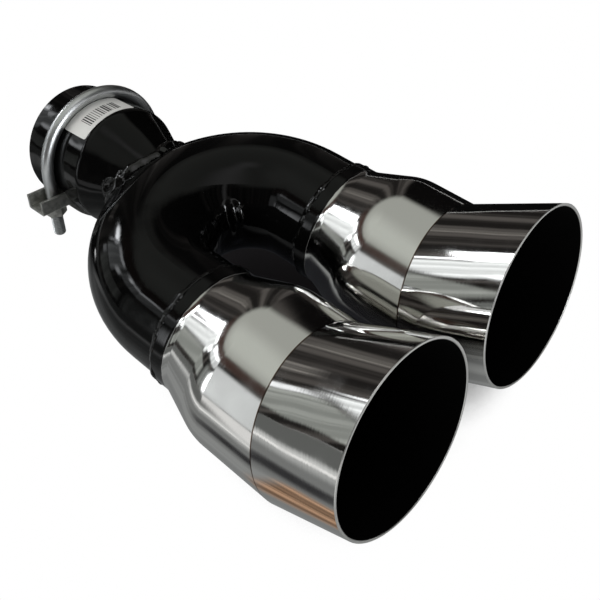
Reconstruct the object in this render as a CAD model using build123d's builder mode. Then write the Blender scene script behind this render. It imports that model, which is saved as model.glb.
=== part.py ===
from build123d import *
import os
from math import cos, degrees, radians, tan

# Twin exhaust tip that slips over a car's tailpipe.
# The origin is the centre of the inlet mouth, +Y points out of that mouth along the tailpipe,
# the two outlets face -Y, and +Z is up. All sizes are in millimetres and degrees.

# Twin pipe: one tube bent through a half turn, with two parallel legs
pipe_od = 76.2
pipe_wall = 1.5
leg_run = 23.0
socket_depth = 8.0
twin_fall = 5.8

# Tips: a neck over the pipe's end, a flare, a straight barrel, and a raised outlet past a mitred seam
outlet_od = 101.0
tip_gap = 13.6
tip_wall = 1.5
slip_gap = 0.15
neck_length = 10.3
flare_length = 30.0
flare_root_radius = 18.0
flare_crown_radius = 37.0
barrel_length = 47.0
outlet_length = 58.0
outlet_rise = 31.8
mouth_rake = 19.6
rim_break = 0.3

# Inlet: a sleeve for the tailpipe that tapers onto the back of the bend
sleeve_od = 80.5
sleeve_wall = 1.5
sleeve_length = 53.0
crease_radius = 7.0
cone_angle = 25.0
cone_reach = 53.8
inlet_offset = 10.4

# Weld beads
tip_weld_leg = 3.0
tip_weld_crown = 0.4
inlet_weld_leg = 3.0

# Clamp: a bent rod over the sleeve, a pressed saddle below it and two nuts
rod_d = 8.0
rod_point = 1.0
thread_end = 16.5
clamp_set = 27.0
clamp_turn = 8.0
saddle_gauge = 2.0
saddle_width = 17.0
saddle_drop = 20.0
saddle_flange = 10.0
saddle_bend = 1.2
ear_margin = 8.8
hole_gap = 0.5
nut_across = 13.0
nut_height = 6.5
nut_chamfer = 0.8

# Paper label on the top of the sleeve
label_gauge = 0.15
label_gap = 2.0
label_margin = 2.5
label_turn = 3.0
label_length = 43.5
label_corner = 1.5

# Values that follow from those above
pipe_r = pipe_od / 2
bend_r = (outlet_od + tip_gap) / 2
neck_r = pipe_r + slip_gap + tip_wall
outlet_r = outlet_od / 2
flare_start = leg_run + neck_length
flare_end = flare_start + flare_length
seam_reach = flare_end + barrel_length
sleeve_r = sleeve_od / 2
bend_back = sleeve_length + cone_reach
cone_end_r = sleeve_r - cone_reach * tan(radians(cone_angle))
inlet_weld_round = 0.6 * inlet_weld_leg
rod_r = sleeve_r + rod_d / 2
rod_drop = saddle_drop + nut_height + thread_end
hole_r = rod_d / 2 + hole_gap
saddle_span = 2 * (rod_r + hole_r + ear_margin)
label_set = clamp_set + label_gap
label_width = sleeve_length - label_set - label_margin
label_sweep = degrees(label_length / sleeve_r)

# The twin pipe's own plane: its centre is the bend's, its +Y runs back towards the inlet
fall_axis = Vector(0, 0, 1).rotate(Axis.X, twin_fall)
back_axis = Vector(0, 1, 0).rotate(Axis.X, twin_fall)
twin = Plane(Vector(0, -bend_back, -inlet_offset) - back_axis * bend_r, x_dir=(1, 0, 0), z_dir=fall_axis)

# The clamp's plane: square to the sleeve, its +Y up along the rod's legs
clamp = Plane((0, -clamp_set, 0), x_dir=Vector(1, 0, 0).rotate(Axis.Y, clamp_turn), z_dir=(0, -1, 0))

# The underside of the saddle's ears, where the nuts seat
ear_face = Plane(clamp.from_local_coords((0, -saddle_drop, 0)), x_dir=clamp.x_dir, z_dir=-clamp.y_dir)

# The label's plane: square to the sleeve, its +X up through the label's middle
label_end = Plane((0, -label_set, 0), x_dir=Vector(0, 0, 1).rotate(Axis.Y, -label_turn), z_dir=(0, -1, 0))


def across_leg(reach, rise=0.0):
    """Plane across the left leg, past the bend by reach, its normal raised by rise from the leg."""
    centre = twin.from_local_coords((-bend_r, -reach, 0))
    return Plane(centre, x_dir=(1, 0, 0), z_dir=(-back_axis).rotate(Axis.X, -rise))


def along(section):
    """Plane through the axis of a section: its X is the radius and its Y the distance along."""
    return Plane(section.origin, x_dir=section.x_dir, z_dir=section.x_dir.cross(section.z_dir))


leg_root = across_leg(0)
leg_axis = Axis(leg_root.origin, leg_root.z_dir)
outlet_root = across_leg(seam_reach, outlet_rise)
seam_plane = across_leg(seam_reach, outlet_rise / 2)
mouth_slope = across_leg(0, outlet_rise - mouth_rake)
mouth_plane = Plane(
    outlet_root.from_local_coords((0, 0, outlet_length)), x_dir=(1, 0, 0), z_dir=mouth_slope.z_dir
)

# Centre line of the twin pipe
with BuildLine(twin) as pipe_run:
    left_run = Line((-bend_r, -leg_run - socket_depth), (-bend_r, 0))
    half_turn = ThreePointArc(left_run @ 1, (0, bend_r), (bend_r, 0))
    Line(half_turn @ 1, (bend_r, -leg_run - socket_depth))

pipe_start = Plane(pipe_run.line @ 0, z_dir=pipe_run.line % 0)

# Outer form of the twin pipe, which trims what is welded to its back
with BuildPart() as pipe_form:
    with BuildSketch(pipe_start):
        Circle(pipe_r)
    sweep(path=pipe_run.line)

# The same form, larger by the weld's leg, which bounds the bead
with BuildPart() as bead_form:
    with BuildSketch(pipe_start):
        Circle(pipe_r + inlet_weld_leg)
    sweep(path=pipe_run.line)

# Twin pipe, with the way in from the inlet through its back wall
with BuildPart() as twin_bend:
    with BuildSketch(pipe_start):
        Circle(pipe_r)
        Circle(pipe_r - pipe_wall, mode=Mode.SUBTRACT)
    sweep(path=pipe_run.line)
    with BuildSketch(Plane.XY):
        with BuildLine():
            cone_inset = sleeve_wall / cos(radians(cone_angle))
            Polyline(
                (0, -sleeve_length),
                (sleeve_r - cone_inset, -sleeve_length),
                (cone_end_r - cone_inset, -bend_back),
                (0, -bend_back),
                close=True,
            )
        make_face()
    revolve(axis=Axis.Y, mode=Mode.SUBTRACT)

# Inlet sleeve and its taper, cut to sit on the bend
with BuildPart() as inlet_sleeve:
    with BuildSketch(Plane.XY):
        with BuildLine():
            FilletPolyline(
                (sleeve_r, 0), (sleeve_r, -sleeve_length), (cone_end_r, -bend_back), radius=crease_radius
            )
            offset(amount=sleeve_wall, side=Side.RIGHT)
        make_face()
    revolve(axis=Axis.Y)
    add(pipe_form.part, mode=Mode.SUBTRACT)

# Bead where the taper meets the bend
with BuildPart() as inlet_weld:
    with BuildSketch(Plane.XY):
        with BuildLine():
            bead_outset = inlet_weld_leg / cos(radians(cone_angle))
            Polyline(
                (sleeve_r, -sleeve_length),
                (sleeve_r + bead_outset, -sleeve_length),
                (cone_end_r + bead_outset, -bend_back),
                (cone_end_r, -bend_back),
                close=True,
            )
        make_face()
    revolve(axis=Axis.Y)
    add(bead_form.part, mode=Mode.INTERSECT)
    add(pipe_form.part, mode=Mode.SUBTRACT)
    fillet(inlet_weld.edges().sort_by(SortBy.LENGTH)[-1], inlet_weld_round)

# Left tip: neck, flare and barrel in one spun shell, cut off on the seam's slant
with BuildPart() as left_flare:
    with BuildSketch(along(leg_root)):
        with BuildLine():
            FilletPolyline(
                (neck_r, leg_run),
                (neck_r, flare_start),
                (outlet_r, flare_end),
                (outlet_r, seam_reach + outlet_r),
                radius=[flare_root_radius, flare_crown_radius],
            )
            offset(amount=tip_wall, side=Side.LEFT)
        make_face()
    revolve(axis=leg_axis)
    split(bisect_by=seam_plane, keep=Keep.BOTTOM)

# Left outlet: a tube raised from the barrel, cut on the seam and raked at its mouth
with BuildPart() as left_outlet:
    with BuildSketch(outlet_root):
        Circle(outlet_r)
        Circle(outlet_r - tip_wall, mode=Mode.SUBTRACT)
    extrude(amount=outlet_length + outlet_r, both=True)
    split(bisect_by=seam_plane, keep=Keep.TOP)
    split(bisect_by=mouth_plane, keep=Keep.BOTTOM)
    chamfer(left_outlet.faces().filter_by(mouth_plane).edges(), rim_break)

# Left tip's bead, at the step from the pipe to the neck
with BuildPart() as left_weld:
    with BuildSketch(along(leg_root)):
        with BuildLine():
            foot = Line((pipe_r, leg_run), (pipe_r, leg_run - tip_weld_leg))
            face = SagittaArc(foot @ 1, (neck_r + tip_weld_crown, leg_run), -tip_weld_crown)
            Line(face @ 1, foot @ 0)
        make_face()
    revolve(axis=leg_axis)

# Right tip, the left one's mirror image
with BuildPart() as right_flare:
    mirror(left_flare.part, about=Plane.YZ)

with BuildPart() as right_outlet:
    mirror(left_outlet.part, about=Plane.YZ)

with BuildPart() as right_weld:
    mirror(left_weld.part, about=Plane.YZ)

# Clamp rod, bent over the top of the sleeve
with BuildPart() as clamp_u_bolt:
    with BuildLine(clamp) as rod_run:
        left_leg = Line((-rod_r, -rod_drop), (-rod_r, 0))
        rod_bend = ThreePointArc(left_leg @ 1, (0, rod_r), (rod_r, 0))
        Line(rod_bend @ 1, (rod_r, -rod_drop))
    with BuildSketch(Plane(rod_run.line @ 0, z_dir=rod_run.line % 0)):
        Circle(rod_d / 2)
    sweep()
    rod_ends = clamp_u_bolt.faces().filter_by(GeomType.PLANE)
    chamfer(rod_ends.edges(), rod_point)

# Clamp saddle: a strap round the underside, with a channel-shaped ear at each end
with BuildPart() as clamp_saddle:
    with BuildSketch(clamp):
        Circle(sleeve_r + saddle_gauge)
        with Locations((0, -saddle_drop)):
            Rectangle(saddle_span, 2 * sleeve_r, align=(Align.CENTER, Align.MIN), mode=Mode.SUBTRACT)
        with Locations((0, -saddle_drop)):
            Rectangle(saddle_span, saddle_gauge, align=(Align.CENTER, Align.MIN))
    extrude(amount=saddle_width / 2, both=True)
    for flange_side in (-1, 1):
        with BuildSketch(clamp.offset(flange_side * saddle_width / 2)):
            with Locations((0, -saddle_drop)):
                Rectangle(saddle_span, saddle_flange, align=(Align.CENTER, Align.MIN))
        extrude(amount=-flange_side * saddle_gauge)
    with BuildSketch(clamp):
        Circle(sleeve_r)
    extrude(amount=saddle_width, both=True, mode=Mode.SUBTRACT)
    with BuildSketch(ear_face):
        with Locations((-rod_r, 0), (rod_r, 0)):
            Circle(hole_r)
    extrude(amount=-saddle_gauge, mode=Mode.SUBTRACT)
    ear_edges = clamp_saddle.edges().filter_by(Axis(clamp.origin, clamp.x_dir))
    fillet(ear_edges.group_by(Axis(clamp.origin, clamp.y_dir))[0], saddle_bend)

# Clamp nuts, one under each ear
with BuildPart() as clamp_nuts:
    with BuildSketch(ear_face):
        with Locations((-rod_r, 0), (rod_r, 0)):
            RegularPolygon(nut_across / 2, side_count=6, major_radius=False, rotation=30)
            Circle(rod_d / 2, mode=Mode.SUBTRACT)
    extrude(amount=nut_height)
    nut_ends = clamp_nuts.faces().filter_by(ear_face)
    chamfer([edge for end in nut_ends for edge in end.outer_wire().edges()], nut_chamfer, nut_chamfer / 2)

# Paper label, wrapped on the sleeve between the rod and the taper
with BuildPart() as label:
    with BuildSketch(label_end):
        with BuildLine():
            inner = CenterArc((0, 0), sleeve_r, -label_sweep / 2, label_sweep)
            outer = CenterArc((0, 0), sleeve_r + label_gauge, -label_sweep / 2, label_sweep)
            Line(inner @ 0, outer @ 0)
            Line(inner @ 1, outer @ 1)
        make_face()
    extrude(amount=label_width)
    label_edges = label.edges().filter_by(GeomType.LINE)
    fillet(label_edges.filter_by(lambda edge: edge.length < 2 * label_gauge), label_corner)

pieces = {
    "inlet_sleeve": inlet_sleeve,
    "inlet_weld": inlet_weld,
    "twin_bend": twin_bend,
    "left_weld": left_weld,
    "right_weld": right_weld,
    "left_flare": left_flare,
    "right_flare": right_flare,
    "left_outlet": left_outlet,
    "right_outlet": right_outlet,
    "clamp_u_bolt": clamp_u_bolt,
    "clamp_saddle": clamp_saddle,
    "clamp_nuts": clamp_nuts,
    "label": label,
}

os.makedirs("parts", exist_ok=True)
for name, piece in pieces.items():
    piece.part.label = name
    export_step(piece.part, f"parts/{name}.step")
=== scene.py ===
import math

import bpy
from bpy.props import FloatProperty, FloatVectorProperty, IntProperty, PointerProperty
from mathutils import Matrix, Vector


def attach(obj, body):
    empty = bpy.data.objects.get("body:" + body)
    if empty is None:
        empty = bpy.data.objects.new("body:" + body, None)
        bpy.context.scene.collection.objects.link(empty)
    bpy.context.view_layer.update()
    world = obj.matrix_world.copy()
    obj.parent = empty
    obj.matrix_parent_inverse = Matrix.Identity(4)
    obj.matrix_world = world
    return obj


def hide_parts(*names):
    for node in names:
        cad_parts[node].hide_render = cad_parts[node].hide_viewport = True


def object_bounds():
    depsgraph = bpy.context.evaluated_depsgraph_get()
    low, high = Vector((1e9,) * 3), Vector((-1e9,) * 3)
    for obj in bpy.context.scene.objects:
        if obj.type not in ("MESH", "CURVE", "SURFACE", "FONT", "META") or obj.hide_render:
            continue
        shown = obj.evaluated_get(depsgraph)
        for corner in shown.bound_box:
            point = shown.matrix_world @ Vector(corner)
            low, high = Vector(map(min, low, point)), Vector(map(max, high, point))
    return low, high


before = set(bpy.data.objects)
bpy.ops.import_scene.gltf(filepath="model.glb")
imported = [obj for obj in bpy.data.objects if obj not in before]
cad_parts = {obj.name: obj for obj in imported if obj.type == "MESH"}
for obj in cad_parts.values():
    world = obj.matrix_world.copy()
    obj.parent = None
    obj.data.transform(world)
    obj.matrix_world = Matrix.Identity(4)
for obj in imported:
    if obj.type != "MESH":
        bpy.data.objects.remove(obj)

bl_info = {
    "name": "Twin Exhaust Tip",
    "version": (1, 0, 0),
    "blender": (4, 5, 0),
    "location": "View3D > Sidebar > Exhaust Tip",
    "description": "Dresses the packed twin exhaust tip and sets up its studio",
    "category": "Object",
}

# The CAD box. The part stands on its lowest point
CAD_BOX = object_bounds()
FLOOR = CAD_BOX[0].z

MM = 0.001
RIGHT_ANGLE = math.radians(90)
# Points that lie closer than this are merged
MERGE = 0.002 * MM

# The twin pipe: a tube bent through a half turn, whose two legs fall towards the outlets
PIPE_RADIUS = 38.1 * MM
LEG_OFFSET = 57.3 * MM
TWIN_FALL = math.radians(5.8)
LEG_TILT = RIGHT_ANGLE + TWIN_FALL
BEND_CENTRE = Vector((0.0, -163.81, -16.19)) * MM

# The tips: each outlet rises at a mitred seam and ends in a mouth that is raked on its own plane
SEAM_REACH = 110.3 * MM
OUTLET_LENGTH = 58 * MM
OUTLET_RISE = math.radians(31.8)
OUTLET_TILT = LEG_TILT - OUTLET_RISE
SEAM_TILT = LEG_TILT - OUTLET_RISE / 2
MOUTH_TILT = OUTLET_TILT + math.radians(19.6)

# The black on the tips: the soft edge of the neck's paint along the tip and how far it wanders, the
# flare's two ends along the tip with the radius just under its outer face at each, the radii between
# which an outlet's paint ends, and the depths under the mouth's plane where its bare rim starts
NECK_PAINT_EDGE = (32.3 * MM, 32.8 * MM)
NECK_PAINT_WANDER = 1.6 * MM
FLARE_ENDS = (33.3 * MM, 63.3 * MM)
FLARE_INSIDE = (38.85 * MM, 49.6 * MM)
OUTLET_INSIDE = (49.2 * MM, 49.5 * MM)
OUTLET_RIM = (-0.45 * MM, -0.25 * MM)

# The clamp and the label, both turned a few degrees round the sleeve
SLEEVE_RADIUS = 40.25 * MM
CLAMP_CENTRE = Vector((0.0, -27.0, 0.0)) * MM
CLAMP_TURN = math.radians(8)
LABEL_TURN = math.radians(3)

# The label's block of bars: its ends round the sleeve and along Y, and the width of the thinnest bar
# and how much wider a bar can be, as shares of the pitch
BAR_BLOCK_ROUND = (-12.0 * MM, 13.5 * MM)
BAR_BLOCK_ALONG = (-47.0 * MM, -37.0 * MM)
BAR_WIDTH = 0.22
BAR_SPREAD = 0.55

# Wrinkles on the inside of the bend: degrees round the bend, from and to degrees round the tube
# from its innermost line, and how high each stands as a share of the full height
WRINKLES = ((63, -8, 30, 1.0), (88, 4, 28, 0.45), (111, 10, 30, 0.8), (124, -6, 20, 0.5))

# How a bead's ripple stands, step by step, as shares of its height: it rises steeply and falls away
# slowly, like a row of overlapping coins
RIPPLE = (0.0, 0.55, 1.0, 0.8, 0.45, 0.15)

# The inlet's taper: its slope, and its radius at one place along Y
TAPER_SLOPE = math.radians(24.8)
TAPER_RADIUS = 31.1 * MM
TAPER_PLACE = -72.4 * MM

# Runs of weld that lie up the taper, beside the inlet's bead: degrees round the sleeve from its top,
# place along Y, and half the length, width and thickness, in millimetres
WELD_RUNS = ((-71, -75.5, 5.5, 7.0, 0.5), (-50, -82.5, 5.0, 4.0, 0.8))

# How strongly plain enamel reflects
ENAMEL_SHINE = 0.18

# The photograph's view, found by fitting its perspective to the mouths, the seams and the bend
CAMERA_EYE = Vector((-219.0, -432.8, 289.9)) * MM
CAMERA_RIGHT = Vector((0.6613, -0.7463, -0.0758))
CAMERA_UP = Vector((0.5707, 0.4349, 0.6965))
CAMERA_ROLL = math.radians(0.334)
CAMERA_LENS = 44.98
CAMERA_SENSOR = 36.0

# The soft lamp: watts, size in metres, azimuth and elevation in degrees, and distance in metres
LAMP_POWER = 12
LAMP_SIZE = (1.2, 0.6)
LAMP_HEADING = (-40, 40)
LAMP_REACH = 1.5

# The deep shade on the floor under the right leg: along each axis its middle, half its full width
# and how far out it has faded, in millimetres
FLOOR_SHADE = (("X", 44, 14, 66), ("Y", -136, 42, 135))

# The studio cards are what the gloss reflects: a pale ceiling, windows to the left, dark walls, and a
# floor that is dark close by, where grey and dark sheets are a painted shadow of the part. Those of the
# room are patches of spheres round this point
CARD_CENTRE = Vector((0.0, -0.2, 0.0))

# Name, azimuths and elevations in degrees, colour, strength, soft edge as a share of the card,
# distance in metres, and for stripes their count and their least and most light
ROOM_CARDS = (
    ("wall_card", (-180, 180), (-3, 52), "#4A4745", 1.0, 0.02, 2.9, (44, 0.25, 1.7)),
    ("ceiling_card", (-180, 180), (42, 90), "#D2D5CE", 0.74, 0.2, 2.7),
    ("bright_ceiling_card", (-110, 30), (46, 82), "#DDE1DA", 0.9, 0.4, 2.65),
    ("cornice_card", (-85, 20), (36, 49), "#4C3832", 1.0, 0.3, 2.6),
    ("window_card", (-62, -28), (27, 40), "#F4F8FA", 1.6, 0.18, 2.5, (14, 0.5, 1.15)),
    ("window_bar_card", (-58, -30), (35.5, 39), "#F8FBFF", 6.5, 0.3, 2.41),
    ("window_spot_card", (-41, -35), (34, 38), "#F8FBFF", 11.0, 0.4, 2.39),
    ("window_corner_card", (-34, -25), (23, 31), "#F8FBFF", 6.0, 0.4, 2.4),
    ("pane_card", (-30, -10), (16, 36), "#F4F8FA", 1.6, 0.15, 2.42, (8, 0.7, 1.2)),
    ("pane_bar_card", (-30, -8), (33.5, 37.5), "#F8FBFF", 6.0, 0.3, 2.41),
    ("bright_pane_card", (-12, 1.5), (26.5, 35), "#F8FBFF", 26.0, 0.4, 2.4),
    ("bright_post_card", (-10.5, -7.5), (17, 38), "#F8FBFF", 3.5, 0.4, 2.38),
    ("low_post_card", (-17, -11.5), (8, 17), "#F8FBFF", 1.5, 0.3, 2.38),
    ("low_pane_card", (-46, -13), (2, 17), "#AEB2AE", 1.0, 0.15, 2.44, (9, 0.75, 1.25)),
    ("tall_window_card", (-75, -60), (-3, 36), "#F4F8FA", 1.1, 0.12, 2.45, (16, 0.7, 1.15)),
    ("bright_side_card", (-62.5, -58.5), (-3, 27), "#F8FBFF", 7.0, 0.35, 2.4),
    ("side_window_card", (-60, -46), (-3, 26), "#A4A8A6", 1.0, 0.2, 2.43, (7, 0.5, 1.3)),
    ("shelf_card", (-2, 9), (8, 19), "#9A9692", 1.0, 0.3, 2.55, (6, 0.4, 1.3)),
    ("second_shelf_card", (23, 30), (-3, 45), "#8E8A86", 1.0, 0.3, 2.56, (5, 0.5, 1.2)),
    ("dim_wall_card", (60, 132), (-3, 46), "#0E0D0D", 1.0, 0.08, 2.8),
    ("front_lamp_card", (-184, -160), (-2, 22), "#F8FBFF", 20.0, 0.3, 2.4),
)

# Name, centre and size in millimetres, turn in degrees, colour, strength, soft edge, height over the
# floor in millimetres, and stripes as above
FLOOR_CARDS = (
    ("far_floor_card", (-533, 1131), (2000, 3000), 58, "#6E706F", 1.0, 0.03, 0.3),
    ("pale_floor_card", (0, -168), (800, 1180), 0, "#EEF0F0", 0.9, 0.1, 0.5),
    # Painted shadow: a grey sheet where the part shades the floor close by
    ("near_floor_card", (0, -130), (660, 660), 0, "#989A9A", 1.0, 0.15, 0.8, (16, 0.75, 1.2)),
    ("back_floor_card", (900, 600), (1500, 2300), -55, "#0C0C0C", 1.0, 0.04, 1.0),
    ("bright_floor_card", (-183, 505), (70, 420), 10, "#FFFFFF", 1.7, 0.3, 1.2),
    ("glint_floor_card", (-160, 450), (55, 170), 10, "#FFFFFF", 8.0, 0.4, 1.5),
    ("white_floor_card", (-300, -90), (36, 320), 0, "#FFFFFF", 1.2, 0.35, 1.3),
    # Painted shadow: a dark sheet on the floor to the left of the front tip
    ("shade_floor_card", (-186, -225), (56, 200), 0, "#3A3A3C", 1.0, 0.4, 1.3),
    # Painted shadow: a dark sheet on the floor under the part, between its legs
    ("dark_floor_card", (10, -185), (150, 300), 0, "#222326", 1.0, 0.25, 1.4),
    ("warm_floor_card", (-139, -287), (52, 104), 0, "#CBA486", 1.0, 0.22, 1.6, (7, 0.35, 1.35)),
)


def linear(code):
    """An sRGB hex colour as linear red, green, blue and alpha."""
    parts = [int(code[i:i + 2], 16) / 255 for i in (1, 3, 5)]
    return (*[c / 12.92 if c <= 0.04045 else ((c + 0.055) / 1.055) ** 2.4 for c in parts], 1.0)


def shade(tint, share):
    """A colour darkened to a share of its light."""
    return (*[share * part for part in tint[:3]], 1.0)


def tilted(tilt):
    """Unit vector of +Z tilted about X."""
    return Vector((0, -math.sin(tilt), math.cos(tilt)))


def heading(azimuth, elevation):
    """Unit vector of an azimuth from +Y towards +X and an elevation, both in degrees."""
    a, e = math.radians(azimuth), math.radians(elevation)
    return Vector((math.sin(a) * math.cos(e), math.cos(a) * math.cos(e), math.sin(e)))


SEAM_NORMAL = tilted(SEAM_TILT)
SEAM_CENTRE = BEND_CENTRE + tilted(LEG_TILT) * SEAM_REACH
MOUTH_NORMAL = tilted(MOUTH_TILT)
MOUTH_CENTRE = SEAM_CENTRE + tilted(OUTLET_TILT) * OUTLET_LENGTH


def length(name, description, size):
    """A length property with its default in millimetres."""
    return FloatProperty(
        name=name, description=description, default=size * MM,
        subtype="DISTANCE", unit="LENGTH", precision=5,
    )


def colour(name, description, code):
    """A colour property with its default as an sRGB hex value."""
    return FloatVectorProperty(
        name=name, description=description, default=linear(code),
        size=4, subtype="COLOR", min=0, max=1,
    )


class ExhaustTipSizes(bpy.types.PropertyGroup):
    """Sizes of the pieces modelled here"""

    rod_radius: length("Rod radius", "Radius of the clamp's rod", 4.0)
    rod_bend: length("Rod bend", "Radius of the rod's bend, at its middle", 44.25)
    rod_drop: length("Rod drop", "How far the rod's legs reach down", 43.0)
    shank_drop: length("Shank drop", "How far down the plain shank ends, inside the saddle", 19.0)
    rod_point: length("Rod point", "Chamfer at the rod's ends", 1.0)
    thread_pitch: length("Thread pitch", "Pitch of the rod's thread", 1.25)
    thread_depth: length("Thread depth", "Depth of the rod's thread", 0.74)
    bead_radius: length("Bead radius", "Radius of a tip's bead, at its middle", 38.71)
    bead_reach: length("Bead reach", "How far past the bend the bead's middle sits", 21.78)
    bead_width: length("Bead width", "Half the bead's width", 2.2)
    bead_height: length("Bead height", "Half the bead's thickness", 0.9)
    bead_ripples: IntProperty(
        name="Bead ripples", description="Ripples round a bead", default=96, min=12
    )
    bead_ripple_height: length("Ripple height", "Height of a bead's ripple", 0.06)
    bead_lump: length("Bead lump", "Size of the lumps on the beads", 4.2)
    wrinkle_height: length("Wrinkle height", "How far the bend's wrinkles stand proud", 1.6)
    wrinkle_width: length("Wrinkle width", "Half the width of a wrinkle", 6.0)
    bar_pitch: length("Bar pitch", "Spacing of the label's bars", 1.8)


class ExhaustTipColours(bpy.types.PropertyGroup):
    """Colours of the finishes"""

    paint: colour("Paint", "Gloss black of the pipe", "#060606")
    lining: colour("Lining", "Matt black inside the tips", "#0B0B0B")
    steel: colour("Steel", "Polished stainless steel of the tips", "#D2D1CE")
    seam: colour("Seam", "Weld colour along the mitred seams", "#5C4C40")
    zinc: colour("Zinc", "Bright zinc of the clamp's rod", "#C6C8C8")
    dull_zinc: colour("Dull zinc", "Dull zinc of the saddle and nuts", "#C4C4BF")
    paper: colour("Paper", "Off-white of the label", "#CACAC6")
    ink: colour("Ink", "Black of the label's bars", "#0C0C0E")
    floor: colour("Floor", "White of the studio floor", "#F2F2F2")
    floor_shade: colour("Floor shade", "Grey of the floor's deep shade", "#3A383A")


def add_node(tree, kind, inputs=None, **settings):
    """Adds a node with its settings. An input gets a value, or a link from a socket or from a node's
    first live output."""
    node = tree.nodes.new(kind)
    for name, value in settings.items():
        setattr(node, name, value)
    for name, value in (inputs or {}).items():
        if isinstance(value, bpy.types.Node):
            value = next(socket for socket in value.outputs if socket.enabled)
        if isinstance(value, bpy.types.NodeSocket):
            tree.links.new(value, node.inputs[name])
        else:
            node.inputs[name].default_value = value
    return node


def new_material(name):
    """A new material and its empty node tree."""
    material = bpy.data.materials.new(name)
    material.use_nodes = True
    material.node_tree.nodes.clear()
    return material, material.node_tree


def per_mm(size):
    """Pattern scale for a feature size in millimetres."""
    return 1 / (size * MM)


def fade(low, high, start=0.0, end=1.0):
    """Map Range inputs that go from start to end while a value goes from low to high."""
    return {"From Min": low, "From Max": high, "To Min": start, "To Max": end}


def height_over(tree, place, point, normal):
    """A node with the distance of a place in front of a plane."""
    dot = add_node(tree, "ShaderNodeVectorMath", {0: place, 1: normal}, operation="DOT_PRODUCT")
    return add_node(tree, "ShaderNodeMath", {0: dot, 1: normal.dot(point)}, operation="SUBTRACT")


# Sprayed enamel over welded mild steel: deep black and glossy, with wavy reflections and faint orange
# peel, and a little duller in patches. The height of its waves and its peel is in millimetres.
def gloss_enamel(context, name, wave, peel, shine=ENAMEL_SHINE):
    material, tree = new_material(name)
    place = add_node(tree, "ShaderNodeTexCoord").outputs["Object"]
    waves = add_node(tree, "ShaderNodeTexNoise", {"Vector": place, "Scale": per_mm(22), "Detail": 1.0})
    orange = add_node(tree, "ShaderNodeTexNoise", {"Vector": place, "Scale": per_mm(3), "Detail": 2.0})
    dust = add_node(tree, "ShaderNodeTexNoise", {"Vector": place, "Scale": per_mm(9), "Detail": 5.0})
    broad = add_node(tree, "ShaderNodeBump", {"Height": waves, "Distance": wave * MM})
    fine = add_node(tree, "ShaderNodeBump", {"Height": orange, "Distance": peel * MM, "Normal": broad})
    gloss = add_node(
        tree, "ShaderNodeMapRange", {"Value": dust, **fade(0.35, 0.75, 0.04, 0.11)},
        interpolation_type="SMOOTHSTEP",
    )
    skin = add_node(tree, "ShaderNodeBsdfPrincipled", {
        "Base Color": context.scene.exhaust_colours.paint,
        "Specular IOR Level": shine,
        "Roughness": gloss,
        "Normal": fine,
    })
    add_node(tree, "ShaderNodeOutputMaterial", {"Surface": skin})
    return material


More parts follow.
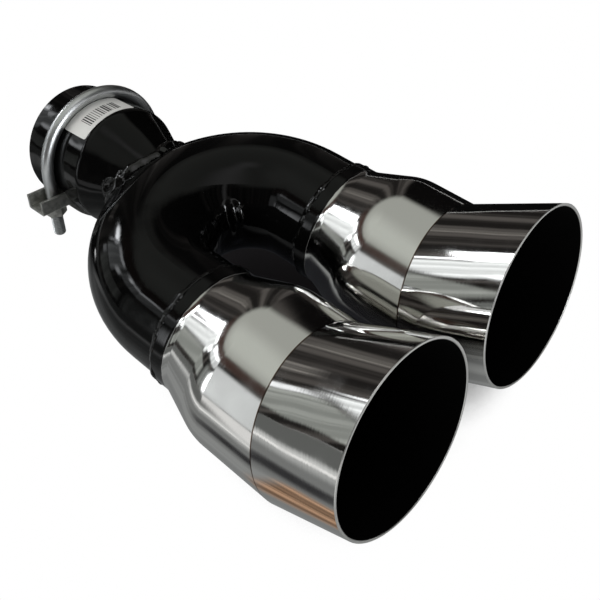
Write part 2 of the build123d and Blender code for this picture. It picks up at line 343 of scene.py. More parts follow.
# Spun stainless tube, buffed to a mirror: a faint warm tint, fine marks round the tube that fray the
# reflections, a smudge here and there, and a brown weld line along the seam. It is black where a mask
# says so.
def polished_stainless(context, name, origin, tilt, mask, haze, black, black_gloss, black_shine):
    material, tree = new_material(name)
    colours = context.scene.exhaust_colours
    place = add_node(tree, "ShaderNodeTexCoord").outputs["Object"]

    # Both tips fold onto one, and turn to stand on their axis
    parts = add_node(tree, "ShaderNodeSeparateXYZ", {0: place}).outputs
    side = add_node(tree, "ShaderNodeMath", {0: parts["X"]}, operation="ABSOLUTE")
    folded = add_node(tree, "ShaderNodeCombineXYZ", {"X": side, "Y": parts["Y"], "Z": parts["Z"]})
    local = add_node(tree, "ShaderNodeMapping", {
        "Vector": folded, "Location": (LEG_OFFSET, origin.y, origin.z), "Rotation": (tilt, 0, 0),
    }, vector_type="TEXTURE")
    across = add_node(tree, "ShaderNodeVectorMath", {0: local, 1: (1, 1, 0)}, operation="MULTIPLY")
    radius = add_node(tree, "ShaderNodeVectorMath", {0: across}, operation="LENGTH")
    reach = add_node(tree, "ShaderNodeSeparateXYZ", {0: local}).outputs["Z"]

    # Buffing marks are really about 0.1 mm apart; they are drawn at 1.2 mm so that they show
    stretch = (per_mm(45), per_mm(45), per_mm(1.2))
    grain = add_node(tree, "ShaderNodeVectorMath", {0: local, 1: stretch}, operation="MULTIPLY")
    marks = add_node(tree, "ShaderNodeTexNoise", {"Vector": grain, "Scale": 1.0, "Detail": 3.0})
    waves = add_node(tree, "ShaderNodeTexNoise", {"Vector": place, "Scale": per_mm(30), "Detail": 0.0})
    smudge = add_node(tree, "ShaderNodeTexNoise", {"Vector": place, "Scale": per_mm(14), "Detail": 4.0})
    broad = add_node(tree, "ShaderNodeBump", {"Height": waves, "Distance": 0.2 * MM})
    fine = add_node(tree, "ShaderNodeBump", {"Height": marks, "Distance": 0.009 * MM, "Normal": broad})
    gloss = add_node(
        tree, "ShaderNodeMapRange", {"Value": smudge, **fade(0.4, 0.75, *haze)},
        interpolation_type="SMOOTHSTEP",
    )

    # The weld line fades out within a millimetre of the seam
    over = height_over(tree, place, SEAM_CENTRE, SEAM_NORMAL)
    off = add_node(tree, "ShaderNodeMath", {0: over}, operation="ABSOLUTE")
    seam = add_node(
        tree, "ShaderNodeMapRange", {"Value": off, **fade(0.2 * MM, 0.6 * MM, 1.0, 0.0)},
        interpolation_type="SMOOTHSTEP",
    )
    metal = add_node(
        tree, "ShaderNodeMix", {0: seam, 6: colours.steel, 7: colours.seam}, data_type="RGBA"
    )
    share, bare_gloss = mask(tree, place, radius, reach, gloss)
    skin = add_node(tree, "ShaderNodeBsdfPrincipled", {
        "Base Color": add_node(tree, "ShaderNodeMix", {0: share, 6: metal, 7: black}, data_type="RGBA"),
        "Metallic": add_node(tree, "ShaderNodeMath", {0: 1.0, 1: share}, operation="SUBTRACT"),
        "Roughness": add_node(
            tree, "ShaderNodeMix", {0: share, 2: bare_gloss, 3: black_gloss}, data_type="FLOAT"
        ),
        "Specular IOR Level": black_shine,
        "Normal": fine,
    })
    add_node(tree, "ShaderNodeOutputMaterial", {"Surface": skin})
    return material


def flare_mask(tree, place, radius, reach, gloss):
    """Where a flare is black: the neck, to a slightly wandering edge, and the inside."""
    wander = add_node(tree, "ShaderNodeTexNoise", {"Vector": place, "Scale": per_mm(7), "Detail": 3.0})
    edge = add_node(
        tree, "ShaderNodeMath", {0: wander, 1: NECK_PAINT_WANDER, 2: reach}, operation="MULTIPLY_ADD"
    )
    neck = add_node(
        tree, "ShaderNodeMapRange", {"Value": edge, **fade(*NECK_PAINT_EDGE, 1.0, 0.0)},
        interpolation_type="SMOOTHSTEP",
    )
    face = add_node(tree, "ShaderNodeMapRange", {"Value": reach, **fade(*FLARE_ENDS, *FLARE_INSIDE)})
    inside = add_node(tree, "ShaderNodeMath", {0: radius, 1: face}, operation="LESS_THAN")
    return add_node(tree, "ShaderNodeMath", {0: neck, 1: inside}, operation="MAXIMUM"), gloss


def outlet_mask(tree, place, radius, reach, gloss):
    """Where an outlet is black, which is inside, up to its cut rim, which is bare and satin."""
    inside = add_node(
        tree, "ShaderNodeMapRange", {"Value": radius, **fade(*OUTLET_INSIDE, 1.0, 0.0)},
        interpolation_type="SMOOTHSTEP",
    )
    lip = height_over(tree, place, MOUTH_CENTRE, MOUTH_NORMAL)
    rim = add_node(
        tree, "ShaderNodeMapRange", {"Value": lip, **fade(*OUTLET_RIM)}, interpolation_type="SMOOTHSTEP"
    )
    wall = add_node(tree, "ShaderNodeMath", {0: 1.0, 1: rim}, operation="SUBTRACT")
    share = add_node(tree, "ShaderNodeMath", {0: inside, 1: wall}, operation="MULTIPLY")
    satin = add_node(tree, "ShaderNodeMix", {0: rim, 2: gloss, 3: 0.3}, data_type="FLOAT")
    return share, satin


# Zinc plate: silvery or grey, satin or rough, with clouds of a darker grey. The size of its clouds and
# the depth of its grain are in millimetres.
def zinc_plate(name, tint, cloud_size, cloud_share, gloss, grain_depth):
    material, tree = new_material(name)
    place = add_node(tree, "ShaderNodeTexCoord").outputs["Object"]
    clouds = add_node(
        tree, "ShaderNodeTexNoise", {"Vector": place, "Scale": per_mm(cloud_size), "Detail": 5.0}
    )
    grain = add_node(tree, "ShaderNodeTexNoise", {"Vector": place, "Scale": per_mm(0.8), "Detail": 2.0})
    bump = add_node(tree, "ShaderNodeBump", {"Height": grain, "Distance": grain_depth * MM})
    share = add_node(
        tree, "ShaderNodeMapRange", {"Value": clouds, **fade(0.35, 0.7)}, interpolation_type="SMOOTHSTEP"
    )
    skin = add_node(tree, "ShaderNodeBsdfPrincipled", {
        "Base Color": add_node(
            tree, "ShaderNodeMix", {0: share, 6: tint, 7: shade(tint, cloud_share)}, data_type="RGBA"
        ),
        "Metallic": 1.0,
        "Roughness": add_node(tree, "ShaderNodeMapRange", {"Value": share, **fade(0.0, 1.0, *gloss)}),
        "Normal": bump,
    })
    add_node(tree, "ShaderNodeOutputMaterial", {"Surface": skin})
    return material


# Coated paper: off-white and half matt, with a block of plain printed bars that spell nothing.
def label_paper(context):
    material, tree = new_material("coated_paper")
    colours = context.scene.exhaust_colours
    place = add_node(tree, "ShaderNodeTexCoord").outputs["Object"]
    parts = add_node(tree, "ShaderNodeSeparateXYZ", {0: place}).outputs
    turn = add_node(tree, "ShaderNodeMath", {0: parts["X"], 1: parts["Z"]}, operation="ARCTAN2")
    middle = add_node(tree, "ShaderNodeMath", {0: turn, 1: LABEL_TURN}, operation="ADD")
    around = add_node(tree, "ShaderNodeMath", {0: middle, 1: SLEEVE_RADIUS}, operation="MULTIPLY")

    # One bar at each step of the pitch, of a width drawn for that step
    pitch = context.scene.exhaust_sizes.bar_pitch
    count = add_node(tree, "ShaderNodeMath", {0: around, 1: pitch}, operation="DIVIDE")
    step = add_node(tree, "ShaderNodeMath", {0: count}, operation="FLOOR")
    draw = add_node(tree, "ShaderNodeTexWhiteNoise", {"W": step}, noise_dimensions="1D").outputs["Value"]
    width = add_node(
        tree, "ShaderNodeMath", {0: draw, 1: BAR_SPREAD, 2: BAR_WIDTH}, operation="MULTIPLY_ADD"
    )
    part = add_node(tree, "ShaderNodeMath", {0: count}, operation="FRACT")
    bar = add_node(tree, "ShaderNodeMath", {0: part, 1: width}, operation="LESS_THAN")
    for value, (low, high) in ((around, BAR_BLOCK_ROUND), (parts["Y"], BAR_BLOCK_ALONG)):
        over = add_node(tree, "ShaderNodeMath", {0: value, 1: low}, operation="GREATER_THAN")
        under = add_node(tree, "ShaderNodeMath", {0: value, 1: high}, operation="LESS_THAN")
        between = add_node(tree, "ShaderNodeMath", {0: over, 1: under}, operation="MULTIPLY")
        bar = add_node(tree, "ShaderNodeMath", {0: bar, 1: between}, operation="MULTIPLY")

    fibre = add_node(tree, "ShaderNodeTexNoise", {"Vector": place, "Scale": per_mm(1.5), "Detail": 3.0})
    skin = add_node(tree, "ShaderNodeBsdfPrincipled", {
        "Base Color": add_node(
            tree, "ShaderNodeMix", {0: bar, 6: colours.paper, 7: colours.ink}, data_type="RGBA"
        ),
        "Roughness": 0.45,
        "Specular IOR Level": 0.3,
        "Normal": add_node(tree, "ShaderNodeBump", {"Height": fibre, "Distance": 0.03 * MM}),
    })
    add_node(tree, "ShaderNodeOutputMaterial", {"Surface": skin})
    return material


def dress(name, material):
    """Gives a CAD node its finish."""
    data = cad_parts[name].data
    data.materials.clear()
    data.materials.append(material)


def finish_piece(piece, name, material, slot, *nodes):
    """Names a modelled piece, gives it its finish and puts it in place of its CAD nodes."""
    piece.name = piece.data.name = name
    piece.data.materials.clear()
    piece.data.materials.append(material)
    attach(piece, "root")
    if nodes:
        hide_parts(*nodes)


def select_only(*pieces):
    """Selects pieces and nothing else, with the last one active."""
    bpy.ops.object.select_all(action="DESELECT")
    for piece in pieces:
        piece.select_set(True)
    bpy.context.view_layer.objects.active = pieces[-1]


def settle(piece, place):
    """Puts the selected piece in its place, which goes into its mesh."""
    piece.matrix_world = place
    bpy.ops.object.transform_apply(location=True, rotation=True, scale=True)


def apply_modifier(piece, kind, **settings):
    """Adds a modifier with its settings to the active piece and applies it."""
    modifier = piece.modifiers.new(kind.lower(), kind)
    for name, value in settings.items():
        setattr(modifier, name, value)
    bpy.ops.object.modifier_apply(modifier=modifier.name)


def roughen(piece, size, depth, group=""):
    """Makes the active piece lumpy, with lumps of a size and a depth, where a vertex group says so."""
    lumps = bpy.data.textures.new(piece.name + "_lumps", "CLOUDS")
    lumps.noise_scale = size
    lumps.noise_depth = 0
    apply_modifier(
        piece, "DISPLACE", texture=lumps, texture_coords="LOCAL", strength=depth, vertex_group=group
    )


def pick(piece, test):
    """Selects, in edit mode, the points of a piece that pass a test."""
    bpy.ops.mesh.select_all(action="DESELECT")
    bpy.ops.object.mode_set(mode="OBJECT")
    for vertex in piece.data.vertices:
        vertex.select = test(vertex.co)
    bpy.ops.object.mode_set(mode="EDIT")


def merge_points():
    """Merges, in edit mode, all points that lie together, and turns the faces outwards."""
    bpy.ops.mesh.select_all(action="SELECT")
    bpy.ops.mesh.remove_doubles(threshold=MERGE)
    bpy.ops.mesh.normals_make_consistent(inside=False)


def bend_angles(co):
    """Degrees round the bend, and round its tube from the innermost line, of a point in its own plane."""
    spread = math.hypot(co.x, co.y)
    return math.degrees(math.atan2(co.y, co.x)), math.degrees(math.atan2(co.z, LEG_OFFSET - spread))


def on_taper(turn, along):
    """Place on the inlet's taper, with X up the taper and Z out of it."""
    level, rise = math.cos(TAPER_SLOPE), math.sin(TAPER_SLOPE)
    outwards = Vector((math.sin(turn), 0, math.cos(turn)))
    normal = outwards * level - Vector((0, rise, 0))
    up = outwards * rise + Vector((0, level, 0))
    radius = TAPER_RADIUS + math.tan(TAPER_SLOPE) * (along - TAPER_PLACE)
    place = outwards * radius + Vector((0, along, 0))
    return Matrix.Translation(place) @ Matrix((up, normal.cross(up), normal)).transposed().to_4x4()


class EXHAUST_OT_pipe(bpy.types.Operator):
    """Paint the twin pipe and the inlet sleeve"""

    bl_idname = "exhaust.pipe"
    bl_label = "Painted Pipe"

    def execute(self, context):
        dress("twin_bend", gloss_enamel(context, "gloss_black_enamel_bend", wave=0.2, peel=0.012))
        dress("inlet_sleeve", gloss_enamel(context, "gloss_black_enamel_sleeve", wave=0.9, peel=0.012))
        return {"FINISHED"}


class EXHAUST_OT_wrinkles(bpy.types.Operator):
    """Model the wrinkles that the tight bend has on its inside"""

    bl_idname = "exhaust.wrinkles"
    bl_label = "Bend Wrinkles"

    def execute(self, context):
        sizes = context.scene.exhaust_sizes
        # The patch that carries them starts this far under the skin, and lies between two angles
        # round the bend and within one round the tube, in degrees
        sunk = 0.15 * MM
        first, last, half = 30, 150, 52

        # The inner arc of the tube's section, swept round the bend
        bpy.ops.object.select_all(action="DESELECT")
        bpy.ops.mesh.primitive_circle_add(
            vertices=180, radius=PIPE_RADIUS - sunk,
            location=(LEG_OFFSET, 0, 0), rotation=(RIGHT_ANGLE, 0, 0),
        )
        patch = context.object
        bpy.ops.object.transform_apply(location=True, rotation=True)
        bpy.ops.object.mode_set(mode="EDIT")
        pick(patch, lambda co: math.atan2(abs(co.z), LEG_OFFSET - co.x) > math.radians(half))
        bpy.ops.mesh.delete(type="VERT")
        bpy.ops.object.mode_set(mode="OBJECT")
        settle(patch, Matrix.Rotation(math.radians(first), 4, "Z"))
        bpy.ops.object.mode_set(mode="EDIT")
        bpy.ops.mesh.select_all(action="SELECT")
        bpy.ops.mesh.spin(
            steps=last - first, angle=-math.radians(last - first), center=(0, 0, 0), axis=(0, 0, 1)
        )
        merge_points()

        # Each wrinkle is drawn up from one row of points. The rows are a degree apart
        row = 0.6
        for bend, low, high, share in WRINKLES:
            pick(
                patch,
                lambda co: abs(bend_angles(co)[0] - bend) < row and low <= bend_angles(co)[1] <= high,
            )
            bpy.ops.transform.shrink_fatten(
                value=share * sizes.wrinkle_height, use_proportional_edit=True,
                proportional_edit_falloff="SMOOTH", proportional_size=sizes.wrinkle_width,
            )
        bpy.ops.object.mode_set(mode="OBJECT")

        # Lumps break up the wrinkles, and fade out over the last degrees to the patch's edges
        soft = 20
        core = patch.vertex_groups.new(name="core")
        for vertex in patch.data.vertices:
            bend, tube = bend_angles(vertex.co)
            inner = min(bend - first, last - bend, half - abs(tube)) / soft
            core.add([vertex.index], min(1.0, max(0.0, inner)), "REPLACE")
        roughen(patch, size=7.0 * MM, depth=1.0 * MM, group=core.name)
        apply_modifier(patch, "SOLIDIFY", thickness=0.8 * MM, offset=-1)
        settle(patch, Matrix.Translation(BEND_CENTRE) @ Matrix.Rotation(TWIN_FALL, 4, "X"))
        bpy.ops.object.shade_smooth()
        enamel = gloss_enamel(context, "gloss_black_enamel_wrinkle", wave=0.2, peel=0.012, shine=0.3)
        finish_piece(patch, "bend_wrinkles", enamel, "black_paint")
        return {"FINISHED"}


class EXHAUST_OT_inlet_bead(bpy.types.Operator):
    """Make the hand-laid bead between the inlet and the bend lumpy"""

    bl_idname = "exhaust.inlet_bead"
    bl_label = "Inlet Bead"

    def execute(self, context):
        sizes = context.scene.exhaust_sizes
        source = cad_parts["inlet_weld"]
        bead = source.copy()
        bead.data = source.data.copy()
        context.scene.collection.objects.link(bead)
        select_only(bead)
        bpy.ops.object.mode_set(mode="EDIT")
        bpy.ops.mesh.select_all(action="SELECT")
        bpy.ops.mesh.remove_doubles(threshold=MERGE)
        bpy.ops.object.mode_set(mode="OBJECT")

        # The runs beside it melt into it
        for turn, along, *halves in WELD_RUNS:
            bpy.ops.object.select_all(action="DESELECT")
            bpy.ops.mesh.primitive_uv_sphere_add(segments=24, ring_count=12, radius=1)
            run = context.object
            stretch = Matrix.Diagonal([half * MM for half in halves]).to_4x4()
            settle(run, on_taper(math.radians(turn), along * MM) @ stretch)
            select_only(run, bead)
            bpy.ops.object.join()
        apply_modifier(bead, "REMESH", mode="VOXEL", voxel_size=0.5 * MM)

        # It is laid thicker on the flanks than on the crown
        flank = 22 * MM
        flanks = bead.vertex_groups.new(name="flanks")
        for vertex in bead.data.vertices:
            flanks.add([vertex.index], min(1.0, abs(vertex.co.x) / flank), "REPLACE")
        apply_modifier(bead, "DISPLACE", mid_level=0.0, strength=1.8 * MM, vertex_group=flanks.name)
        roughen(bead, size=1.6 * sizes.bead_lump, depth=3.0 * MM)
        bpy.ops.object.shade_smooth()
        enamel = gloss_enamel(context, "gloss_black_enamel_inlet_bead", wave=0.2, peel=0.02, shine=0.5)
        finish_piece(bead, "inlet_bead", enamel, "black_paint", "inlet_weld")
        return {"FINISHED"}


class EXHAUST_OT_beads(bpy.types.Operator):
    """Model the rippled weld beads of the tips"""

    bl_idname = "exhaust.beads"
    bl_label = "Tip Beads"

    def execute(self, context):
        sizes = context.scene.exhaust_sizes
        enamel = gloss_enamel(context, "gloss_black_enamel_bead", wave=0.2, peel=0.02, shine=0.35)
        steps = sizes.bead_ripples * len(RIPPLE)
        step = math.tau / steps

        # An oval section that leans from the pipe up to the neck
        lean = Matrix.Rotation(math.radians(-55.7), 4, "Y") @ Matrix.Rotation(RIGHT_ANGLE, 4, "X")
        oval = Matrix.Diagonal((sizes.bead_width, sizes.bead_height, 1, 1))
        section = Matrix.Translation((sizes.bead_radius, 0, sizes.bead_reach)) @ lean @ oval
        for side, name in ((-1, "left_weld"), (1, "right_weld")):
            bpy.ops.object.select_all(action="DESELECT")
            bpy.ops.mesh.primitive_circle_add(vertices=14, radius=1.0)
            bead = context.object
            settle(bead, section)
            bpy.ops.object.mode_set(mode="EDIT")
            bpy.ops.mesh.select_all(action="SELECT")
            bpy.ops.mesh.spin(steps=steps, angle=math.tau, center=(0, 0, 0), axis=(0, 0, 1))
            merge_points()
            for phase, share in enumerate(RIPPLE):
                pick(bead, lambda co: round(math.atan2(co.y, co.x) / step) % len(RIPPLE) == phase)
                bpy.ops.transform.shrink_fatten(value=sizes.bead_ripple_height * share)
            bpy.ops.object.mode_set(mode="OBJECT")
            roughen(bead, size=1.4 * sizes.bead_lump, depth=1.7 * MM)
            leg = Matrix.Translation(BEND_CENTRE + Vector((side * LEG_OFFSET, 0, 0)))
            settle(bead, leg @ Matrix.Rotation(LEG_TILT, 4, "X"))
            bpy.ops.object.shade_smooth()
            finish_piece(bead, name + "_bead", enamel, "black_paint", name)
        return {"FINISHED"}


class EXHAUST_OT_tips(bpy.types.Operator):
    """Polish the flares and the outlets, and blacken their insides"""

    bl_idname = "exhaust.tips"
    bl_label = "Polished Tips"

    def execute(self, context):
        colours = context.scene.exhaust_colours
        flare = polished_stainless(
            context, "polished_stainless_flare", BEND_CENTRE, LEG_TILT, flare_mask,
            haze=(0.08, 0.14), black=colours.paint, black_gloss=0.1, black_shine=ENAMEL_SHINE,
        )
        outlet = polished_stainless(
            context, "polished_stainless_outlet", SEAM_CENTRE, OUTLET_TILT, outlet_mask,
            haze=(0.05, 0.1), black=colours.lining, black_gloss=0.75, black_shine=0.02,
        )
        for side in ("left", "right"):
            dress(side + "_flare", flare)
            dress(side + "_outlet", outlet)
        return {"FINISHED"}


class EXHAUST_OT_rod(bpy.types.Operator):
    """Model the clamp's bent rod with its threaded legs"""

    bl_idname = "exhaust.rod"
    bl_label = "Clamp Rod"

    def shank(self, context):
        """The plain bent part of the rod, in its own upright plane."""
        sizes = context.scene.exhaust_sizes
        bpy.ops.object.select_all(action="DESELECT")
        bpy.ops.mesh.primitive_circle_add(
            vertices=32, radius=sizes.rod_radius, location=(-sizes.rod_bend, 0, 0)
        )
        rod = context.object
        bpy.ops.object.transform_apply(location=True)
        bpy.ops.object.mode_set(mode="EDIT")
        bpy.ops.mesh.select_all(action="SELECT")
        bpy.ops.mesh.spin(steps=64, angle=-math.pi, center=(0, 0, 0), axis=(0, 1, 0))
        for side in (-1, 1):
            pick(rod, lambda co: abs(co.z) < MERGE and co.x * side > 0)
            bpy.ops.mesh.extrude_region_move(TRANSFORM_OT_translate={"value": (0, 0, -sizes.shank_drop)})
            bpy.ops.mesh.edge_face_add()
        bpy.ops.mesh.select_all(action="SELECT")
        bpy.ops.mesh.normals_make_consistent(inside=False)
        bpy.ops.object.mode_set(mode="OBJECT")
        return rod

    def stud(self, context):
        """One threaded leg, upright on its own axis."""
        sizes = context.scene.exhaust_sizes
        pitch = sizes.thread_pitch
        # The crests stay just inside the nuts' bores
        crest = sizes.rod_radius - 0.02 * MM
        root = crest - sizes.thread_depth
        foot = -sizes.rod_drop
        top = -sizes.shank_drop + sizes.rod_point
        low = foot - 2 * pitch

        # One upright edge of a plane, cut in three, gives the profile of a turn
        bpy.ops.object.select_all(action="DESELECT")
        bpy.ops.mesh.primitive_plane_add(
            size=pitch, location=(root + pitch / 2, 0, low + pitch / 2), rotation=(RIGHT_ANGLE, 0, 0)
        )
        stud = context.object
        bpy.ops.object.transform_apply(location=True, rotation=True)
        bpy.ops.object.mode_set(mode="EDIT")
        pick(stud, lambda co: co.x > root + pitch / 2)
        bpy.ops.mesh.delete(type="VERT")
        bpy.ops.mesh.select_all(action="SELECT")
        bpy.ops.mesh.subdivide(number_cuts=2)
        pick(stud, lambda co: 0.1 * pitch < co.z - low < 0.9 * pitch)
        bpy.ops.transform.translate(value=(sizes.thread_depth, 0, 0))
        bpy.ops.object.mode_set(mode="OBJECT")
        apply_modifier(
            stud, "SCREW", axis="Z", angle=math.tau, screw_offset=pitch,
            iterations=math.ceil((top - low) / pitch) + 2, steps=32, render_steps=32,
            use_merge_vertices=True, merge_threshold=MERGE,
        )

        # The turns past both ends are cut off, and the cuts filled
        bpy.ops.object.mode_set(mode="EDIT")
        merge_points()
        bpy.ops.mesh.bisect(plane_co=(0, 0, top), plane_no=(0, 0, 1), use_fill=True, clear_outer=True)
        bpy.ops.mesh.select_all(action="SELECT")
        bpy.ops.mesh.bisect(plane_co=(0, 0, foot), plane_no=(0, 0, 1), use_fill=True, clear_inner=True)
        merge_points()
        bpy.ops.object.mode_set(mode="OBJECT")

        # The last turns are drawn in to the chamfer's cone
        for vertex in stud.data.vertices:
            cone = sizes.rod_radius - max(0.0, sizes.rod_point - (vertex.co.z - foot))
            vertex.co.xy *= min(1.0, cone / vertex.co.xy.length)
        return stud

    def execute(self, context):
        sizes = context.scene.exhaust_sizes
        rod = self.shank(context)
        studs = [self.stud(context)]
        select_only(studs[0])
        bpy.ops.object.duplicate(linked=False)
        studs.append(context.object)
        for stud, side in zip(studs, (-1, 1)):
            stud.location.x = side * sizes.rod_bend
        select_only(*studs, rod)
        bpy.ops.object.join()
        settle(rod, Matrix.Translation(CLAMP_CENTRE) @ Matrix.Rotation(CLAMP_TURN, 4, "Y"))
        bpy.ops.object.shade_smooth_by_angle(angle=math.radians(35))
        zinc = zinc_plate(
            "bright_zinc_plate", context.scene.exhaust_colours.zinc,
            cloud_size=6, cloud_share=0.92, gloss=(0.33, 0.4), grain_depth=0.004,
        )
        finish_piece(rod, "threaded_rod", zinc, "bright_zinc", "clamp_u_bolt")
        return {"FINISHED"}


class EXHAUST_OT_saddle(bpy.types.Operator):
    """Finish the clamp's saddle and nuts"""

    bl_idname = "exhaust.saddle"
    bl_label = "Saddle and Nuts"

    def execute(self, context):
        zinc = zinc_plate(
            "dull_zinc_plate", context.scene.exhaust_colours.dull_zinc,
            cloud_size=4, cloud_share=0.55, gloss=(0.42, 0.6), grain_depth=0.04,
        )
        dress("clamp_saddle", zinc)
        dress("clamp_nuts", zinc)
        return {"FINISHED"}


class EXHAUST_OT_label(bpy.types.Operator):
    """Print the paper label"""

    bl_idname = "exhaust.label"
    bl_label = "Label"

    def execute(self, context):
        dress("label", label_paper(context))
        return {"FINISHED"}


def glow(name, tint, strength, feather, stripes):
    """A material that only shines, in stripes or evenly, and fades out towards the edges of its card."""
    material, tree = new_material(name)
    spot = add_node(tree, "ShaderNodeTexCoord").outputs["UV"]
    parts = add_node(tree, "ShaderNodeSeparateXYZ", {0: spot}).outputs
    share = 1.0
    for part in (parts["X"], parts["Y"]):
        edge = add_node(tree, "ShaderNodeMath", {0: part, 1: 0.5}, operation="PINGPONG")
        inner = add_node(
            tree, "ShaderNodeMapRange", {"Value": edge, **fade(0.0, feather)},
            interpolation_type="SMOOTHSTEP",
        )
        share = add_node(tree, "ShaderNodeMath", {0: inner, 1: share}, operation="MULTIPLY")
    if stripes:
        count, dim, bright = stripes
        wave = add_node(
            tree, "ShaderNodeTexNoise", {"W": parts["X"], "Scale": count, "Detail": 2.0},
            noise_dimensions="1D",
        )
        strength = add_node(
            tree, "ShaderNodeMapRange",
            {"Value": wave, **fade(0.4, 0.7, strength * dim, strength * bright)},
            interpolation_type="SMOOTHSTEP",
        )
    clear = add_node(tree, "ShaderNodeBsdfTransparent")
    shine = add_node(tree, "ShaderNodeEmission", {"Color": tint, "Strength": strength})
    mix = add_node(tree, "ShaderNodeMixShader", {0: share, 1: clear, 2: shine})
    add_node(tree, "ShaderNodeOutputMaterial", {"Surface": mix})
    return material


def hang(card, name, code, strength, feather, stripes):
    """Makes a mesh a studio card that only gloss sees."""
    card.name = name
    card.data.materials.append(glow(name + "_glow", linear(code), strength, feather, stripes))
    card.visible_camera = False
    card.visible_diffuse = False
    card.visible_shadow = False
    card.visible_transmission = False


def room_card(name, azimuths, elevations, code, strength, feather, reach, stripes=None):
    """A studio card that is a patch of a sphere round the part."""
    bpy.ops.object.select_all(action="DESELECT")
    bpy.ops.mesh.primitive_grid_add(x_subdivisions=48, y_subdivisions=12, size=2)
    card = bpy.context.object
    for vertex in card.data.vertices:
        u, v = (vertex.co.x + 1) / 2, (vertex.co.y + 1) / 2
        azimuth = azimuths[0] + (azimuths[1] - azimuths[0]) * u
        elevation = elevations[0] + (elevations[1] - elevations[0]) * v
        vertex.co = CARD_CENTRE + heading(azimuth, elevation) * reach
    hang(card, name, code, strength, feather, stripes)


def floor_card(name, centre, size, turn, code, strength, feather, lift, stripes=None):
    """A studio card that lies on the floor."""
    bpy.ops.object.select_all(action="DESELECT")
    x, y = centre
    bpy.ops.mesh.primitive_plane_add(
        size=1, location=(x * MM, y * MM, FLOOR + lift * MM), rotation=(0, 0, math.radians(turn))
    )
    card = bpy.context.object
    card.scale = (size[0] * MM, size[1] * MM, 1)
    hang(card, name, code, strength, feather, stripes)


def seen_rays(tree):
    """A node that is 1 for camera, glossy and transmission rays."""
    path = add_node(tree, "ShaderNodeLightPath").outputs
    seen = path["Is Camera Ray"]
    for kind in ("Is Glossy Ray", "Is Transmission Ray"):
        seen = add_node(tree, "ShaderNodeMath", {0: seen, 1: path[kind]}, operation="MAXIMUM")
    return seen


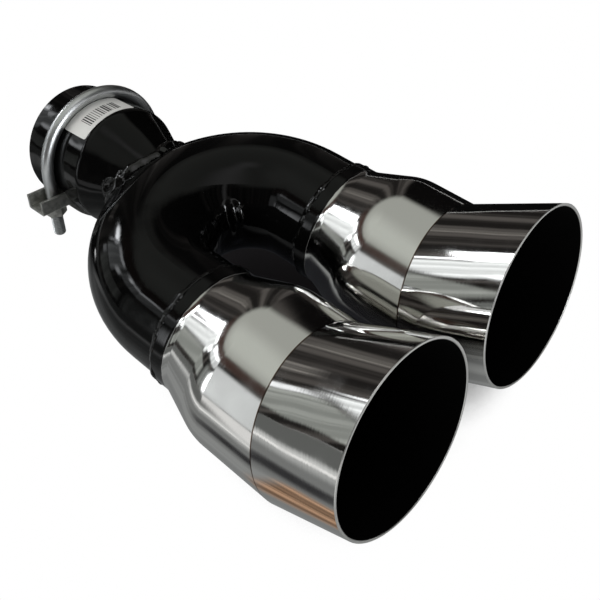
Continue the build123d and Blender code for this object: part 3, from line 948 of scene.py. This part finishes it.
class EXHAUST_OT_stage(bpy.types.Operator):
    """Set up the floor, the light, the studio cards and the camera"""

    bl_idname = "exhaust.stage"
    bl_label = "Studio"

    def camera(self, scene):
        """The photograph's view."""
        camera = bpy.data.objects.new("photo_camera", bpy.data.cameras.new("photo_camera"))
        scene.collection.objects.link(camera)
        right = CAMERA_RIGHT * math.cos(CAMERA_ROLL) + CAMERA_UP * math.sin(CAMERA_ROLL)
        up = CAMERA_UP * math.cos(CAMERA_ROLL) - CAMERA_RIGHT * math.sin(CAMERA_ROLL)
        turn = Matrix((right, up, right.cross(up).normalized())).transposed().to_4x4()
        camera.matrix_world = Matrix.Translation(CAMERA_EYE) @ turn
        camera.data.lens = CAMERA_LENS
        camera.data.sensor_width = CAMERA_SENSOR
        camera.data.clip_start = 0.01
        scene.camera = camera

    def floor(self, scene):
        """White floor, with a shadow close to the part and a deep one under its right leg."""
        bpy.ops.object.select_all(action="DESELECT")
        bpy.ops.mesh.primitive_plane_add(size=12, location=(0, 0, FLOOR))
        floor = bpy.context.object
        floor.name = "studio_floor"
        material, tree = new_material("white_floor")
        colours = scene.exhaust_colours
        place = add_node(tree, "ShaderNodeTexCoord").outputs["Object"]
        parts = add_node(tree, "ShaderNodeSeparateXYZ", {0: place}).outputs
        deep = 1.0
        for axis, middle, full, faded in FLOOR_SHADE:
            off = add_node(tree, "ShaderNodeMath", {0: parts[axis], 1: middle * MM}, operation="SUBTRACT")
            away = add_node(tree, "ShaderNodeMath", {0: off}, operation="ABSOLUTE")
            near = add_node(
                tree, "ShaderNodeMapRange", {"Value": away, **fade(full * MM, faded * MM, 1.0, 0.0)},
                interpolation_type="SMOOTHSTEP",
            )
            deep = add_node(tree, "ShaderNodeMath", {0: near, 1: deep}, operation="MULTIPLY")
        around = add_node(tree, "ShaderNodeAmbientOcclusion", {"Distance": 0.12}, samples=16)
        lit = add_node(
            tree, "ShaderNodeMapRange", {"Value": around.outputs["AO"], **fade(0.12, 0.42)},
            interpolation_type="SMOOTHSTEP",
        )
        open_floor = add_node(tree, "ShaderNodeMath", {0: 1.0, 1: deep}, operation="SUBTRACT")
        bare = add_node(tree, "ShaderNodeMath", {0: lit, 1: open_floor}, operation="MULTIPLY")
        share = add_node(tree, "ShaderNodeMath", {0: seen_rays(tree), 1: bare}, operation="MULTIPLY")
        tint = add_node(
            tree, "ShaderNodeMix", {0: deep, 6: colours.floor, 7: colours.floor_shade}, data_type="RGBA"
        )
        matt = add_node(tree, "ShaderNodeBsdfDiffuse", {"Color": tint})
        white = add_node(tree, "ShaderNodeEmission", {"Strength": 1.0})
        mix = add_node(tree, "ShaderNodeMixShader", {0: share, 1: matt, 2: white})
        add_node(tree, "ShaderNodeOutputMaterial", {"Surface": mix})
        floor.data.materials.append(material)

    def light(self, scene):
        """An even white world and one soft lamp."""
        world = bpy.data.worlds.new("studio_world")
        scene.world = world
        world.use_nodes = True
        tree = world.node_tree
        tree.nodes.clear()
        level = add_node(
            tree, "ShaderNodeMapRange", {"Value": seen_rays(tree), **fade(0.0, 1.0, 0.5, 1.0)}
        )
        sky = add_node(tree, "ShaderNodeBackground", {"Color": linear("#FFFFFF"), "Strength": level})
        add_node(tree, "ShaderNodeOutputWorld", {"Surface": sky})

        lamp_data = bpy.data.lights.new("soft_key", "AREA")
        lamp_data.energy = LAMP_POWER
        lamp_data.shape = "RECTANGLE"
        lamp_data.size, lamp_data.size_y = LAMP_SIZE
        lamp = bpy.data.objects.new("soft_key", lamp_data)
        scene.collection.objects.link(lamp)
        lamp.location = CARD_CENTRE + heading(*LAMP_HEADING) * LAMP_REACH
        lamp.rotation_euler = (CARD_CENTRE - lamp.location).to_track_quat("-Z", "Y").to_euler()
        lamp.visible_glossy = False

    def execute(self, context):
        scene = context.scene
        self.camera(scene)
        self.floor(scene)
        self.light(scene)
        for card in ROOM_CARDS:
            room_card(*card)
        for card in FLOOR_CARDS:
            floor_card(*card)
        scene.view_settings.view_transform = "Standard"
        return {"FINISHED"}


class EXHAUST_PT_panel(bpy.types.Panel):
    """Lists the steps of the exhaust tip"""

    bl_idname = "EXHAUST_PT_panel"
    bl_label = "Exhaust Tip"
    bl_space_type = "VIEW_3D"
    bl_region_type = "UI"
    bl_category = "Exhaust Tip"

    def draw(self, context):
        for step in STEPS:
            self.layout.operator(step.bl_idname)


STEPS = (
    EXHAUST_OT_pipe,
    EXHAUST_OT_wrinkles,
    EXHAUST_OT_inlet_bead,
    EXHAUST_OT_beads,
    EXHAUST_OT_tips,
    EXHAUST_OT_rod,
    EXHAUST_OT_saddle,
    EXHAUST_OT_label,
    EXHAUST_OT_stage,
)
CLASSES = (ExhaustTipSizes, ExhaustTipColours, *STEPS, EXHAUST_PT_panel)


def register():
    """Registers the classes, and gives each scene its sizes and colours."""
    for cls in CLASSES:
        bpy.utils.register_class(cls)
    bpy.types.Scene.exhaust_sizes = PointerProperty(type=ExhaustTipSizes)
    bpy.types.Scene.exhaust_colours = PointerProperty(type=ExhaustTipColours)


def unregister():
    """Undoes what register does."""
    del bpy.types.Scene.exhaust_colours
    del bpy.types.Scene.exhaust_sizes
    for cls in reversed(CLASSES):
        bpy.utils.unregister_class(cls)


def main():
    register()
    bpy.ops.exhaust.pipe()
    bpy.ops.exhaust.wrinkles()
    bpy.ops.exhaust.inlet_bead()
    bpy.ops.exhaust.beads()
    bpy.ops.exhaust.tips()
    bpy.ops.exhaust.rod()
    bpy.ops.exhaust.saddle()
    bpy.ops.exhaust.label()
    bpy.ops.exhaust.stage()


if __name__ == "__main__":
    main()
